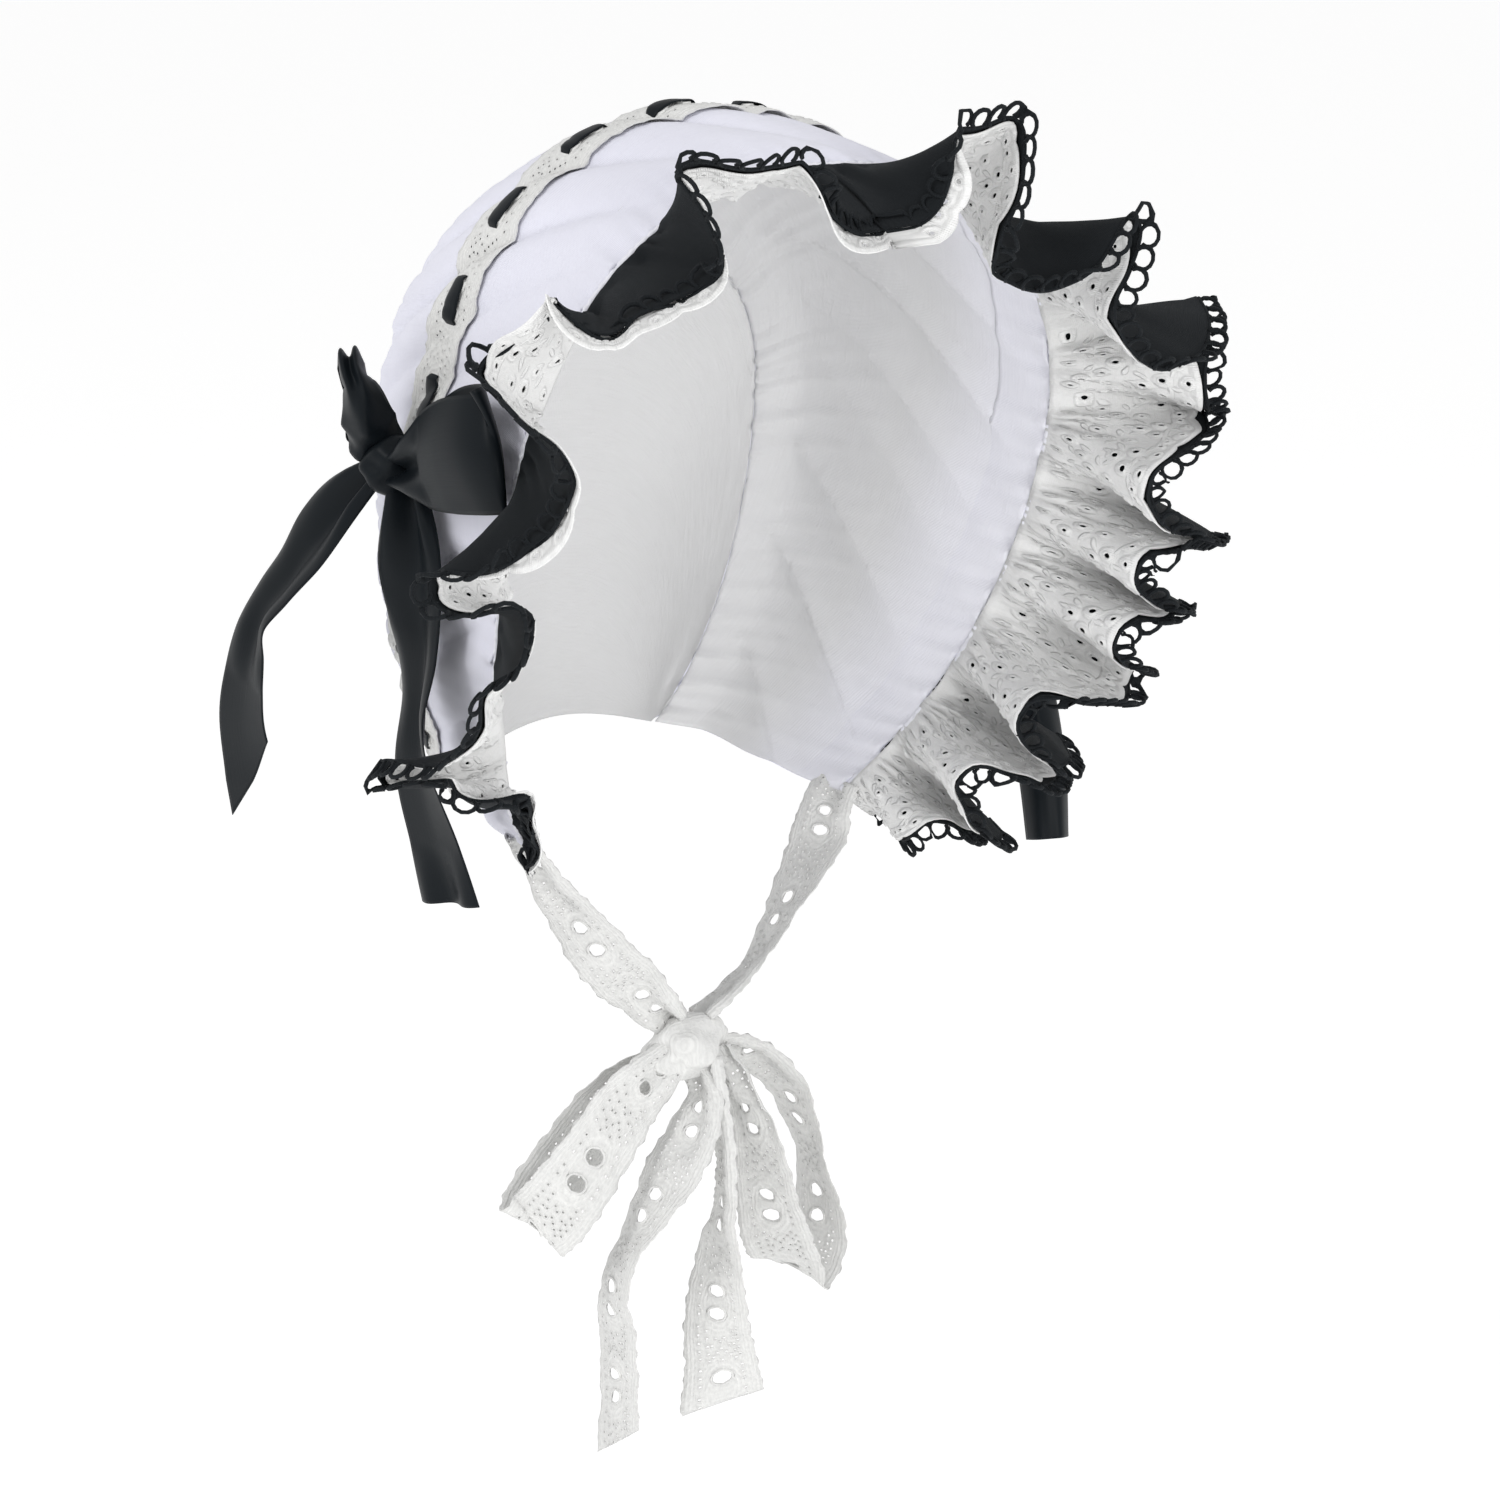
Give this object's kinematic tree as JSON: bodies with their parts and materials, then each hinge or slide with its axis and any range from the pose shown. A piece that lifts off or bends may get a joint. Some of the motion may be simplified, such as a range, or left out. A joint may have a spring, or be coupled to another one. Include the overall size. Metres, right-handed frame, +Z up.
{
  "type": "sun bonnet",
  "caption": "Cotton bonnet with a deep doubled frill, picot edge, ribbon-threaded lace band, satin side bows and a lace tie under the chin.",
  "frame": {"origin": "inside of the crown's top, where the bonnet sits on a head", "axes": "+Z up, the wearer faces -Y, the wearer's left is +X"},
  "size_m": [0.3808, 0.2627, 0.5604],
  "materials": {
    "cotton": "matte plain-weave cotton, slightly puckered at the seams",
    "eyelet_cotton": "matte white cotton with corded eyelet embroidery",
    "black_cotton": "matte black cotton",
    "black_cord": "matte black cord loops",
    "black_satin": "soft black satin ribbon with a broad sheen",
    "lace": "matte off-white cotton beading lace"
  },
  "bodies": {
    "root": {"crown": "cotton", "back_panel": "cotton", "eyelet_frill": "eyelet_cotton", "black_frill": "black_cotton", "picot_trim": "black_cord", "lace_band": "lace", "threaded_ribbon": "black_satin", "right_bow_knot": "black_satin", "right_bow_front_loop": "black_satin", "right_bow_back_loop": "black_satin", "right_bow_back_tail": "black_satin", "right_bow_front_tail": "black_satin", "left_bow_knot": "black_satin", "left_bow_front_loop": "black_satin", "left_bow_back_loop": "black_satin", "left_bow_back_tail": "black_satin", "left_bow_front_tail": "black_satin", "right_tie": "lace", "left_tie": "lace", "tie_knot": "lace", "right_tie_loop": "lace", "left_tie_loop": "lace", "right_tie_tail": "lace", "left_tie_tail": "lace"}
  },
  "joints": []
}
